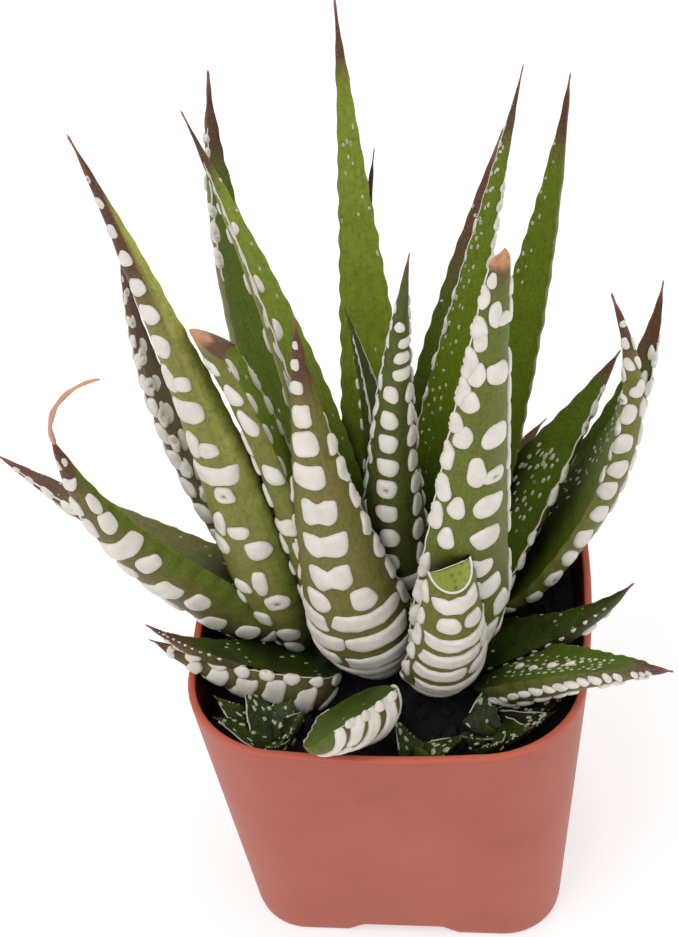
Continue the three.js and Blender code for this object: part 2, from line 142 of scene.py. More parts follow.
# How each leaf is dressed, by the values that dressed() names and more. tone: how light its green is; brown:
# how brown its back is; ruddy: where its tip starts to turn maroon; size: scale of its tubercles; rows: those
# on its back, from the foot up; edges: what runs up it, as the way round, the kind and the shares where it
# starts and ends; dots: how many small pale dots its inner face has, from 0 to 1; side: how far the rows are
# moved round; face_pads: larger tubercles on its inner face, as the column, the shares where they start and
# end and their number; smooth_from: how far round its back the smooth skin begins; green: how green that skin
# is, from 0 to 1, and light: how much paler it gets higher up.
LOW_BACK = dressed(
    0.25, 0.4, 0.8, 0.9, ["smile"] * 4 + ["pair", "left", "right"], both("beads", 0, 0.95), dots=0.4,
)
DRESS = {
    "leaf_centre_young": dressed(0.1, 0.0, 1.0, 0.7, ["small"] * 4, both("thin", 0, 0.95), dots=0.0),
    "leaf_centre": dressed(
        0.2, 0.1, 0.93, 1.15, ["smile"] * 2 + ["wide"] * 2 + ["duo"] * 8 + ["small"] * 3,
        [(-1, "thin", 0, 0.9), (1, "lens", 0, 0.9)],
    ),
    "leaf_right_tall": dressed(
        0.5, 0.1, 0.86, 0.95, plain_rows(3, 4, 4), [(1, "half", 0.1, 0.95), (-1, "lens", 0.5, 0.85)],
        dots=0.9, dot_columns=(0.2, 0.75, 3),
    ),
    "leaf_back_left_bright": dressed(
        0.68, 0.25, 0.86, 1.0, plain_rows(3, 4, 5), [(1, "lens", 0, 0.5), (1, "thin", 0.5, 0.92)],
        face_pads=[(0.5, 0.5, 0.86, 4)],
    ),
    "leaf_back_tallest": dressed(0.66, 0.35, 0.88, 0.75, plain_rows(4, 4, 5), dots=0.2),
    "leaf_front": dressed(
        0.55, 0.75, 0.8, 1.25, ["smile"] * 5 + ["pair"] + ["bow"] * 3 + ["square"] * 3 + ["small"] * 3,
        [(-1, "lens", 0, 0.6), (1, "lens", 0, 0.78)], dots=0.05,
    ),
    "leaf_right_low": dressed(
        0.36, 0.3, 0.88, 0.9, plain_rows(3, 3, 3), [(-1, "lens", 0.25, 0.9)], dots=1.0,
        dot_columns=(0.35, 1.5, 8), dot_reach=(0.12, 0.66), dot_size=1.4,
    ),
    "leaf_back_left": dressed(
        0.48, 0.5, 0.76, 0.95, plain_rows(3, 4, 5), [(1, "lens", 0.62, 0.9)], dots=0.08,
    ),
    "leaf_right_hooked": dressed(
        0.52, 0.4, 0.8, 1.1, ["pair"] * 9 + "duo pair bean pair duo small small".split(),
        [(1, "teeth", 0.1, 0.7)], side=-0.42, face_pads=[(1.8, 0.5, 0.85, 5)], dots=1.0,
        dot_columns=(0.12, 0.62, 4), dot_reach=(0.15, 0.7), dot_size=1.2,
    ),
    "leaf_back_right": dressed(
        0.5, 0.25, 0.84, 0.7, plain_rows(3, 4, 5), [(1, "teeth", 0.1, 0.35)], dots=0.5,
        dot_columns=(0.2, 0.6, 2),
    ),
    "leaf_back_right_dark": dressed(0.34, 0.75, 0.62, 0.7, plain_rows(3, 3, 4)),
    "leaf_right_blunt": dressed(
        0.45, 0.12, 0.97, 1.3,
        ["smile"] * 3 + "wide pair big bean big big ear big drop big drop ear".split() + ["drop"] * 4,
        [(-1, "lens", 0, 0.985), (0.52, "chain", 0.08, 0.985)], side=-0.22,
    ),
    "leaf_left_blunt": dressed(
        0.6, 0.4, 0.975, 1.25, "pair wide pair bean left pair bean left pair left right".split(),
        [(-1, "lens", 0, 0.9)], side=0.42, face_pads=[(0.42, 0.06, 0.98, 10)],
    ),
    "leaf_right_short": dressed(
        0.25, 0.4, 0.7, 0.8, plain_rows(3, 2, 2), both("beads", 0, 0.9), dots=0.4,
    ),
    "leaf_right_outer": dressed(
        0.25, 0.6, 0.72, 1.05, ["smile"] * 2 + ["pair"] * 12, [(-1, "lens", 0.1, 0.85)], side=-0.4,
        face_pads=[(1.5, 0.5, 0.85, 5)], dots=0.04,
    ),
    "leaf_rim_left_back": dressed(
        0.15, 0.2, 0.95, 0.6, ["small"] * 4, [(1, "teeth", 0, 0.9), (-1, "teeth", 0, 0.9)],
    ),
    "leaf_left_dried": dressed(
        0.42, 0.9, 0.8, 1.3,
        "pair smile pair wide pair bow pair wide pair duo bean pair duo pair left right left".split(),
        [(-1, "teeth", 0.05, 0.6)], green=0.85, smooth_from=0.52, side=0.2, dots=0.25,
        dot_columns=(1.5, 1.8, 2),
    ),
    "leaf_left_outer": dressed(
        0.42, 1.0, 0.66, 1.1, ["smile"] * 3 + ["pair"] * 3 + "bean right left right left".split(),
        [(-1, "teeth", 0, 0.9), (1, "lens", 0, 0.93)], green=0.35,
    ),
    "leaf_left_tall": dressed(
        0.74, 0.4, 0.66, 1.2,
        "pair pair small pair ear pair ear small wide ear square ear".split() + ["oval"] * 9,
        [(-1, "thin", 0, 0.84)], green=0.75, light=0.4, smooth_from=0.46, side=0.12, dots=0.05,
    ),
    "leaf_front_cut": dressed(0.5, 0.5, 0.9, 1.1, ["smile"] * 6 + ["pair", "wide"], both("lens", 0, 0.9)),
    "leaf_back_hidden": dressed(0.3, 0.5, 0.82, 0.8, plain_rows(0, 0, 6), dots=0.2),
    "leaf_rim_left_small": dressed(
        0.1, 0.85, 0.7, 0.8, plain_rows(0, 3, 3), [(-1, "teeth", 0.5, 0.95), (1, "teeth", 0.1, 0.95)],
    ),
    "leaf_rim_left_front": dressed(
        0.3, 0.85, 0.76, 1.2, ["pair"] + ["smile"] * 7 + "square small small small".split(),
        [(1, "beads", 0.05, 0.92), (-0.3, "band", 0.12, 0.8)], side=0.1, dots=0.4,
    ),
    "leaf_rim_right_back": dressed(
        0.0, 0.3, 0.92, 0.9, plain_rows(0, 3, 2), [(-1, "teeth", 0.2, 0.85), (1, "teeth", 0.1, 0.6)],
    ),
    "leaf_rim_right_front": dressed(
        0.32, 0.4, 0.72, 0.8, ["smile"] * 3 + ["pair"] * 2 + ["ear", "left", "right"] * 2,
        [(-0.74, "chain", 0.05, 0.9), (1, "teeth", 0.15, 0.6)], face_pads=[(1.0, 0.16, 0.5, 4)], dots=0.9,
        dot_columns=(0.5, 1.4, 5), dot_reach=(0.1, 0.66), dot_size=1.3,
    ),
    "leaf_left_behind": dressed(
        0.2, 0.95, 0.6, 1.3, ["pair"] * 16, smooth_from=3, side=0.4,
        face_pads=[(0.1, 0.1, 0.93, 12), (0.75, 0.1, 0.8, 9)], dots=0.0,
    ),
    "leaf_low_back": LOW_BACK,
    "leaf_low_back_left": LOW_BACK,
    "leaf_low_back_right": LOW_BACK,
    "leaf_rim_front": dressed(
        0.34, 0.3, 1.0, 1.0, ["smile"] * 7, [(1, "beads", 0, 1), (-1, "thin", 0, 1)], side=0.25,
        dots=0.15,
    ),
}

# How far up its leaf each kind of row reaches, in millimetres
ROW_PITCH = {
    "smile": 3.4, "pair": 4.0, "bow": 5.0, "square": 4.7, "small": 3.7, "oval": 5.0, "duo": 4.6, "big": 4.9,
    "drop": 4.2, "left": 4.6, "right": 4.6, "ear": 5.0, "bean": 4.4, "wide": 4.4,
}
# What runs up a leaf: half the length and width of each bead, the pitch, and the line that joins them
EDGES = {
    "lens": dict(along=1.75, across=0.85, pitch=3.9, line=0.12),
    "chain": dict(along=1.7, across=0.9, pitch=3.3, line=0),
    "half": dict(along=1.8, across=0.6, pitch=6.2, line=0.08),
    "thin": dict(along=1.9, across=0.36, pitch=4.4, line=0.12),
    "beads": dict(along=1.1, across=0.75, pitch=2.7, line=0.08),
    "teeth": dict(along=0.7, across=0.34, pitch=2.6, line=0),
    "band": dict(along=1.8, across=0.62, pitch=2.9, line=0.4),
}

DRIED_CURL = {"leaf": "leaf_left_dried", "length": 12.5, "radius": 0.62, "lean": -100, "aim": 205}

# Offsets: small rosettes of short leaves (aim, lean at foot and tip, length, width), each round its own heart
OFFSETS = {
    "offset_left": {
        "place": (-16, -20),
        "seed": 41,
        "leaves": [
            (158, (72, 52), 10, 8), (182, (70, 50), 9, 7), (128, (60, 40), 9, 6), (70, (66, 44), 8, 6),
            (300, (64, 40), 6.5, 6), (0, (50, 30), 8, 6),
        ],
    },
    "offset_front": {
        "place": (4.5, -23),
        "seed": 42,
        "leaves": [
            (8, (74, 48), 8, 5), (130, (54, 34), 6, 4.5), (240, (66, 44), 4.5, 4),
        ],
    },
    "offset_right": {
        "place": (13.5, -18.5),
        "seed": 43,
        "leaves": [
            (18, (78, 62), 14, 7), (2, (76, 58), 11, 8), (336, (66, 46), 9.5, 8), (300, (66, 40), 8, 7),
            (262, (56, 34), 7, 6), (80, (60, 30), 7, 6),
        ],
    },
}
OFFSET_LIFT = 42.6
OFFSET_THICK = 0.42

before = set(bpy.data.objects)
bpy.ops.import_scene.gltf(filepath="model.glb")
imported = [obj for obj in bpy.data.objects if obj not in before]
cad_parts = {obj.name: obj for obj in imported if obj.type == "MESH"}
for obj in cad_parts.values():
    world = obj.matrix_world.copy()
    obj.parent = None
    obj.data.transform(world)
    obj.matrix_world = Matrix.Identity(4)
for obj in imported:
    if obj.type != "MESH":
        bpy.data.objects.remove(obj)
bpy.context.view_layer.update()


# Node materials


def linear(red, green, blue):
    """A colour given in 0 to 255 display values, as a linear one."""
    def one(c):
        c /= 255
        return c / 12.92 if c <= 0.04045 else ((c + 0.055) / 1.055) ** 2.4

    return (one(red), one(green), one(blue), 1)


def fill(tree, socket, value):
    """Gives an input a value, or links it to another node's output."""
    if isinstance(value, bpy.types.NodeSocket):
        tree.links.new(value, socket)
    else:
        socket.default_value = value


def add_node(tree, kind, output, **inputs):
    """Adds a node, fills its inputs, named with _ for a space, and hands back one of its outputs."""
    node = tree.nodes.new("ShaderNode" + kind)
    for name, value in inputs.items():
        fill(tree, node.inputs[name.replace("_", " ")], value)
    return node.outputs[output] if output else node


def add_ramp(tree, factor, stops):
    """A ramp of colours, each in display values at its own place."""
    node = add_node(tree, "ValToRGB", None, Fac=factor)
    elements = node.color_ramp.elements
    while len(elements) < len(stops):
        elements.new(0.5)
    for element, (position, colour) in zip(elements, stops):
        element.position = position
        element.color = linear(*colour)
    return node.outputs["Color"]


def add_noise(tree, scale, detail=3.0, roughness=0.55, distortion=0.0):
    """Noise over the object's own coordinates, with its scale in features a metre."""
    place = add_node(tree, "TexCoord", "Object")
    shape = {"Detail": detail, "Roughness": roughness, "Distortion": distortion}
    return add_node(tree, "TexNoise", "Fac", Vector=place, Scale=scale, **shape)


def add_range(tree, value, low, high, to_low, to_high):
    ends = {"From_Min": low, "From_Max": high, "To_Min": to_low, "To_Max": to_high}
    return add_node(tree, "MapRange", "Result", Value=value, **ends)


def add_mix(tree, factor, first, second, blend="MIX"):
    """A mix of two colours, each one a node's output or display values."""
    node = tree.nodes.new("ShaderNodeMix")
    node.data_type = "RGBA"
    node.blend_type = blend
    for value, place in ((factor, 0), (first, 6), (second, 7)):
        fill(tree, node.inputs[place], linear(*value) if isinstance(value, tuple) else value)
    return node.outputs[2]


def add_math(tree, operation, first, second):
    node = tree.nodes.new("ShaderNodeMath")
    node.operation = operation
    fill(tree, node.inputs[0], first)
    fill(tree, node.inputs[1], second)
    return node.outputs["Value"]


def add_attribute(tree, name):
    node = tree.nodes.new("ShaderNodeAttribute")
    node.attribute_name = name
    return node.outputs["Fac"]


def add_streaks(tree, across, along):
    """Noise over a leaf's own skin, with its scale in features a millimetre round and along the leaf."""
    x = add_math(tree, "MULTIPLY", add_attribute(tree, "round"), across)
    y = add_math(tree, "MULTIPLY", add_attribute(tree, "up"), along)
    place = add_node(tree, "CombineXYZ", "Vector", X=x, Y=y)
    return add_node(tree, "TexNoise", "Fac", Vector=place, Scale=1, Detail=4)


def paint_crease_shade(tree, colour, distance, shade):
    """Paints shade into a colour where other surfaces come close, as shade falls deep in creases and at a
    leaf's foot.
    """
    node = add_node(tree, "AmbientOcclusion", None, Distance=distance)
    node.samples = 6
    near = add_range(tree, node.outputs["AO"], 0.25, 0.85, 1, 0)
    return add_mix(tree, near, colour, add_mix(tree, 1.0, colour, shade, "MULTIPLY"))


def new_material(name):
    material = bpy.data.materials.new(name)
    material.use_nodes = True
    material.node_tree.nodes.clear()
    return material, material.node_tree


def finish(material, colour, roughness, specular=0.5, under=None, bump=None, **more):
    """Gives a material its surface and hands it back. under: the light that passes below the skin, as weight,
    reach of each colour and scale; bump: its relief, as height, strength and distance."""
    tree = material.node_tree
    inputs = {"Base_Color": colour, "Roughness": roughness, "Specular_IOR_Level": specular, **more}
    if under:
        inputs.update(zip(("Subsurface_Weight", "Subsurface_Radius", "Subsurface_Scale"), under))
    if bump:
        relief = dict(zip(("Height", "Strength", "Distance"), bump))
        inputs["Normal"] = add_node(tree, "Bump", "Normal", **relief)
    add_node(tree, "OutputMaterial", None, Surface=add_node(tree, "BsdfPrincipled", "BSDF", **inputs))
    return material


def flesh_material():
    """Leaf flesh: green inner face, browner back, maroon towards the tip, and painted shade near the foot."""
    material, tree = new_material("leaf_flesh")
    along = add_attribute(tree, "along")
    inner = add_attribute(tree, "inner")
    tone = add_attribute(tree, "tone")
    tip = add_attribute(tree, "tip")
    green = add_ramp(tree, tone, [
        (0.0, (30, 48, 8)), (0.3, (66, 88, 12)), (0.6, (116, 134, 26)), (0.9, (174, 178, 84)),
    ])
    # Painted shade: the inner face is darkened towards the leaf's foot, fading out halfway up
    shaded = add_mix(tree, 1.0, green, (168, 186, 168), "MULTIPLY")
    face = add_mix(tree, add_range(tree, along, 0.05, 0.5, 0, 1), shaded, green)
    brown = add_ramp(tree, tone, [(0.0, (84, 66, 44)), (0.5, (122, 104, 64)), (0.9, (150, 132, 84))])
    muted = add_mix(tree, 0.25, face, brown)
    back = add_mix(tree, add_attribute(tree, "brown"), muted, brown)
    colour = add_mix(tree, inner, back, face)
    cloud = add_noise(tree, 260, 3)
    colour = add_mix(tree, add_range(tree, cloud, 0.4, 0.68, 0, 0.3), colour, (96, 122, 18))
    maroon = add_ramp(tree, tip, [
        (0.0, (112, 92, 60)), (0.4, (98, 64, 48)), (0.8, (104, 56, 52)), (1.0, (158, 96, 90)),
    ])
    colour = add_mix(tree, add_range(tree, tip, 0.0, 0.4, 0, 1), colour, maroon)
    dried = add_mix(tree, add_noise(tree, 900, 3), (222, 168, 128), (186, 120, 84))
    colour = add_mix(tree, add_attribute(tree, "dried"), colour, dried)
    streak = add_streaks(tree, 1.6, 0.12)
    colour = add_mix(tree, add_range(tree, streak, 0.42, 0.7, 0, 0.2), colour, (40, 54, 14))
    mottle = add_noise(tree, 1500, 4)
    colour = add_mix(tree, add_range(tree, mottle, 0.45, 0.72, 0, 0.35), colour, (46, 52, 22))
    freckle = add_noise(tree, 4200, 2)
    colour = add_mix(tree, add_range(tree, freckle, 0.55, 0.78, 0, 0.4), colour, (160, 164, 72))
    # Painted shade: the flesh is darkened where leaves and tubercles crowd close, in creases and at the feet
    colour = paint_crease_shade(tree, colour, 0.0045, (96, 100, 74))
    colour = paint_crease_shade(tree, colour, 0.0007, (120, 118, 84))
    height = add_math(tree, "ADD", add_noise(tree, 2400, 3), add_math(tree, "MULTIPLY", streak, 0.7))
    bump = (height, 0.3, 0.00025)
    return finish(material, colour, 0.5, 0.22, under=(0.12, (0.6, 1.0, 0.2), 0.001), bump=bump)


def tubercle_material():
    """The raised pearly tubercles: greyish white, waxy, a little stained here and there."""
    material, tree = new_material("tubercle_white")
    cloud = add_noise(tree, 420, 3)
    colour = add_mix(tree, add_range(tree, cloud, 0.35, 0.7, 0, 1), (230, 222, 214), (212, 206, 194))
    flush = add_range(tree, add_attribute(tree, "tip"), 0.4, 1.2, 0, 0.4)
    colour = add_mix(tree, flush, colour, (204, 172, 160))
    stain = add_range(tree, add_noise(tree, 160, 2), 0.66, 0.76, 0, 0.25)
    colour = add_mix(tree, stain, colour, (190, 160, 124))
    colour = add_mix(tree, add_attribute(tree, "pit"), colour, (112, 102, 78))
    # Painted shade: the tubercles are greyed where they meet the flesh and each other
    colour = paint_crease_shade(tree, colour, 0.0011, (172, 168, 146))
    bump = (add_noise(tree, 1500, 3), 0.15, 0.0002)
    return finish(material, colour, 0.42, 0.35, under=(0.2, (1.0, 0.85, 0.7), 0.0005), bump=bump)


def dot_material():
    """The small translucent dots of an inner face."""
    material, tree = new_material("leaf_window")
    colour = add_mix(tree, add_noise(tree, 700), (168, 174, 130), (206, 206, 180))
    bump = (add_noise(tree, 3000), 0.15, 0.0002)
    return finish(material, colour, 0.3, under=(0.3, (0.8, 1.0, 0.4), 0.0006), bump=bump)


def cut_material():
    """The open flesh of a cut leaf: wet yellow-green with darker dots."""
    material, tree = new_material("leaf_cut")
    place = add_node(tree, "TexCoord", "Object")
    cells = add_node(tree, "TexVoronoi", "Distance", Vector=place, Scale=900)
    spots = add_range(tree, cells, 0.1, 0.4, 1, 0)
    colour = add_mix(tree, add_noise(tree, 500), (158, 164, 44), (104, 118, 34))
    colour = add_mix(tree, add_math(tree, "MULTIPLY", spots, 0.6), colour, (52, 66, 14))
    bump = (add_noise(tree, 1800, 3), 0.5, 0.0003)
    return finish(material, colour, 0.3, under=(0.3, (0.8, 1.0, 0.2), 0.001), bump=bump)


def dried_material():
    """Papery dried leaf end."""
    material, tree = new_material("leaf_dried")
    colour = add_mix(tree, add_noise(tree, 500, 4), (214, 170, 140), (168, 116, 92))
    bump = (add_noise(tree, 1500, 4), 0.5, 0.0003)
    return finish(material, colour, 0.6, under=(0.4, (1.0, 0.7, 0.4), 0.0006), bump=bump)


def pot_material():
    """Moulded terracotta-coloured plastic, a little mottled; the rim has a painted glow and the inside
    painted shade.
    """
    material, tree = new_material("pot_plastic")
    level = add_node(tree, "SeparateXYZ", "Z", Vector=add_node(tree, "TexCoord", "Object"))
    cloud = add_noise(tree, 60, 4)
    colour = add_mix(tree, add_range(tree, cloud, 0.3, 0.7, 0, 1), (167, 80, 60), (177, 90, 71))
    grain = add_noise(tree, 1400, 2)
    colour = add_mix(tree, add_range(tree, grain, 0.4, 0.7, 0, 0.25), colour, (160, 84, 70))
    smudge = add_range(tree, add_noise(tree, 95, 3, 0.6, 1.0), 0.62, 0.74, 0, 0.35)
    colour = add_mix(tree, smudge, colour, (140, 72, 62))
    # Painted light: the top of the rim is painted brighter, for light passing through the thin plastic
    rim = add_range(tree, level, (POT_HEIGHT - 0.6) * MM, (POT_HEIGHT - 0.2) * MM, 0, 1)
    colour = add_mix(tree, add_math(tree, "MULTIPLY", rim, 0.7), colour, (196, 96, 74))
    # Painted shade: the inside of the pot is coloured a deep dark red
    colour = add_mix(tree, add_attribute(tree, "inside"), colour, (74, 16, 9))
    bump = (add_noise(tree, 700, 3), 0.12, 0.0002)
    return finish(material, colour, 0.5, 0.4, under=(0.12, (1.0, 0.35, 0.2), 0.001), bump=bump)


def soil_material():
    """Dark potting mix with a few browner bits."""
    material, tree = new_material("potting_soil")
    colour = add_ramp(tree, add_noise(tree, 450, 5), [
        (0.3, (2, 2, 2)), (0.55, (7, 5, 4)), (0.75, (22, 16, 11)), (0.9, (46, 34, 22)),
    ])
    bump = (add_noise(tree, 2200, 6), 0.8, 0.0006)
    return finish(material, colour, 0.85, bump=bump)


def stem_material():
    material, tree = new_material("stem_tissue")
    colour = add_mix(tree, add_noise(tree, 600, 4), (96, 104, 56), (132, 112, 76))
    bump = (add_noise(tree, 1200, 3), 0.4, 0.0004)
    return finish(material, colour, 0.7, bump=bump)


# Meshes

# The materials of a leaf, in the order of their slots
FLESH, TUBERCLE, DOT, CUT, DRIED = range(5)


class Shape:
    """Points, faces and what they carry, gathered for one object. A slot is a place in its materials."""

    ATTRIBUTES = ("along", "inner", "tone", "brown", "tip", "dried", "pit", "inside", "round", "up")

    def __init__(self):
        self.points = []
        self.faces = []
        self.slots = []
        self.values = {name: [] for name in self.ATTRIBUTES}
        self.count = 0

    def add(self, points, faces, slot=FLESH, **values):
        points = np.asarray(points, float).reshape(-1, 3)
        self.points.append(points)
        self.faces.extend([tuple(i + self.count for i in face) for face in faces])
        self.slots.extend([slot] * len(faces))
        for name in self.ATTRIBUTES:
            value = np.broadcast_to(np.asarray(values.get(name, 0.0), float), (len(points),))
            self.values[name].append(value)
        self.count += len(points)

    def build(self, name, materials, sharp=60):
        mesh = bpy.data.meshes.new(name)
        mesh.from_pydata((np.concatenate(self.points) * MM).tolist(), [], self.faces)
        for material in materials:
            mesh.materials.append(material)
        mesh.polygons.foreach_set("material_index", self.slots)
        for attribute, parts in self.values.items():
            value = np.concatenate(parts).astype(np.float32)
            if value.any():
                layer = mesh.attributes.new(attribute, "FLOAT", "POINT")
                layer.data.foreach_set("value", value)
        mesh.validate()
        face_out(mesh)
        mesh.shade_smooth()
        mesh.set_sharp_from_angle(angle=math.radians(sharp))
        piece = bpy.data.objects.new(name, mesh)
        bpy.context.scene.collection.objects.link(piece)
        return piece


def face_out(mesh):
    """Turns the faces of each closed shell outwards."""
    shells = bmesh.new()
    shells.from_mesh(mesh)
    bmesh.ops.recalc_face_normals(shells, faces=shells.faces)
    shells.to_mesh(mesh)
    shells.free()


def bridge(low, high, count):
    """Quads between two rings of points, by the numbers of their first points."""
    return [(low + i, low + (i + 1) % count, high + (i + 1) % count, high + i) for i in range(count)]


def ring_faces(rings, count):
    """Quads between rings of points that follow each other."""
    return [face for j in range(rings - 1) for face in bridge(j * count, (j + 1) * count, count)]


def fan(start, count, apex):
    """Triangles between a ring of points and one more point."""
    return [(start + i, start + (i + 1) % count, apex) for i in range(count)]


def tube(rings):
    """The points and faces of a closed body through outline rings, with a fan at each end."""
    count = len(rings[0])
    foot = len(rings) * count
    points = np.vstack([*rings, rings[0].mean(0), rings[-1].mean(0)])
    return points, ring_faces(len(rings), count) + fan(0, count, foot) + fan(foot - count, count, foot + 1)


def full_turn(count):
    """Angles evenly round a circle."""
    return np.linspace(0, 2 * math.pi, count, endpoint=False)


def circle(radius, z, away=0, count=40):
    """A level ring of points, moved away from the axis towards the front."""
    turn = full_turn(count)
    return np.stack([radius * np.cos(turn), radius * np.sin(turn) - away, np.full(count, z)], -1)


def hash_noise(rng, points, scale, count=5):
    """Smooth noise from a few random waves, about -1 to 1."""
    total = np.zeros(len(points))
    for _ in range(count):
        way = rng.normal(size=3)
        way *= rng.uniform(0.6, 1.5) / np.linalg.norm(way) / scale
        total += np.sin(points @ way * 2 * math.pi + rng.uniform(0, 6.3))
    return total / count ** 0.5 / 1.2


# Leaves


def unit_section(back_steps=241, face_steps=161):
    """The section of a leaf with half width 1 and depth 1, by the way round: -1 and 1 are the margins, 0 the
    keel, and the inner face goes on from 1."""
    turn = np.linspace(0, math.pi, back_steps)
    face_x = np.linspace(1, -1, face_steps)[1:]
    face_y = FACE_HOLLOW * (1 - face_x ** 4)
    way = np.concatenate([np.linspace(-1, 1, back_steps), np.linspace(1, 1 + 2 * FACE_ARC, face_steps)[1:]])
    return way, np.concatenate([-np.cos(turn), face_x]), np.concatenate([np.sin(turn), face_y])


SECTION_WAY, SECTION_X, SECTION_Y = unit_section()
WAY_ROUND = 2 + 2 * FACE_ARC


class Leaf:
    """The surface of one leaf: its middle line, its directions and its section."""

    def __init__(self, row, root=None):
        self.row = row
        self.length = row["length"]
        if root is None:
            at = math.radians(row["at"])
            root = (row["foot"] * math.cos(at), row["foot"] * math.sin(at), row["lift"])
        share = (np.arange(SPINE_STEPS) + 0.5) / SPINE_STEPS
        steps = self.directions(share)[0] * (self.length / SPINE_STEPS)
        self.knots = np.linspace(0, 1, SPINE_STEPS + 1)
        self.line = np.vstack([root, np.asarray(root) + np.cumsum(steps, 0)])

    def directions(self, share):
        low, high = self.row["lean"]
        lean = np.radians(low + (high - low) * share)
        aim = np.radians(self.row["aim"] + self.row.get("sweep", 0) * share)
        roll = math.radians(self.row.get("roll", 0))
        along = np.stack([np.sin(lean) * np.cos(aim), np.sin(lean) * np.sin(aim), np.cos(lean)], -1)
        level = np.stack([-np.sin(aim), np.cos(aim), 0 * aim], -1)
        inward = np.cross(along, level)
        across = level * math.cos(roll) + inward * math.sin(roll)
        inward = inward * math.cos(roll) - level * math.sin(roll)
        return along, across, inward

    def size(self, share):
        natural = share * self.row.get("kept", 1)
        rise = np.sin(np.minimum(natural / FULL_WIDTH_FROM, 1) * math.pi / 2)
        foot = FOOT_SHARE + (1 - FOOT_SHARE) * rise
        taper = np.maximum(1 - np.maximum(0, natural - TAPER_FROM) / (1 - TAPER_FROM), TIP_SHARE)
        half = self.row["width"] / 2 * foot * taper
        depth = self.row.get("thick", THICK) * self.row["width"] * foot * taper ** 0.85
        return half, depth

    def half_width(self, share):
        """Half the width at one share of the length."""
        return self.size(np.array([share]))[0][0]

    def middle(self, share):
        return np.stack([np.interp(share, self.knots, self.line[:, i]) for i in range(3)], -1)

    def skin(self, share, way):
        """Points of the bare skin at shares of the length and ways round."""
        share = np.clip(share, 0, 1)
        turned = (way + 1) % WAY_ROUND - 1
        x = np.interp(turned, SECTION_WAY, SECTION_X)
        y = np.interp(turned, SECTION_WAY, SECTION_Y)
        half, depth = self.size(share)
        _, across, inward = self.directions(share)
        scallop = self.scallop(share) * np.clip(np.abs(x) * 4 - 3, 0, 1) * np.sign(x)
        return self.middle(share) + across * (x * half + scallop)[..., None] - inward * (y * depth)[..., None]

    def scallop(self, share):
        """The margin's low teeth."""
        half, _ = self.size(share)
        height = SCALLOP["height"] * np.minimum(1, half / SCALLOP["full_from"])
        return height * np.sin(share * self.length / SCALLOP["pitch"] * 2 * math.pi)

    def normals(self, share, way):
        step = 0.004
        down = self.skin(share + step, way) - self.skin(share - step, way)
        round_ = self.skin(share, way + 0.03) - self.skin(share, way - 0.03)
        normal = np.cross(down, round_)
        normal /= np.maximum(np.linalg.norm(normal, axis=-1, keepdims=True), 1e-9)
        inside = np.clip(share, 0, 1)
        _, depth = self.size(inside)
        _, _, inward = self.directions(inside)
        centre = self.middle(inside) - inward * (depth * 0.45)[..., None]
        facing = np.sum(normal * (self.skin(share, way) - centre), -1)
        return normal * np.where(facing < 0, -1, 1)[..., None]


def tip_share(dress, share):
    """How far into its maroon tip a share of a leaf's length is, from 0 to 1."""
    return np.clip((share - dress["ruddy"]) / max(1 - dress["ruddy"], 0.05), 0, 1)


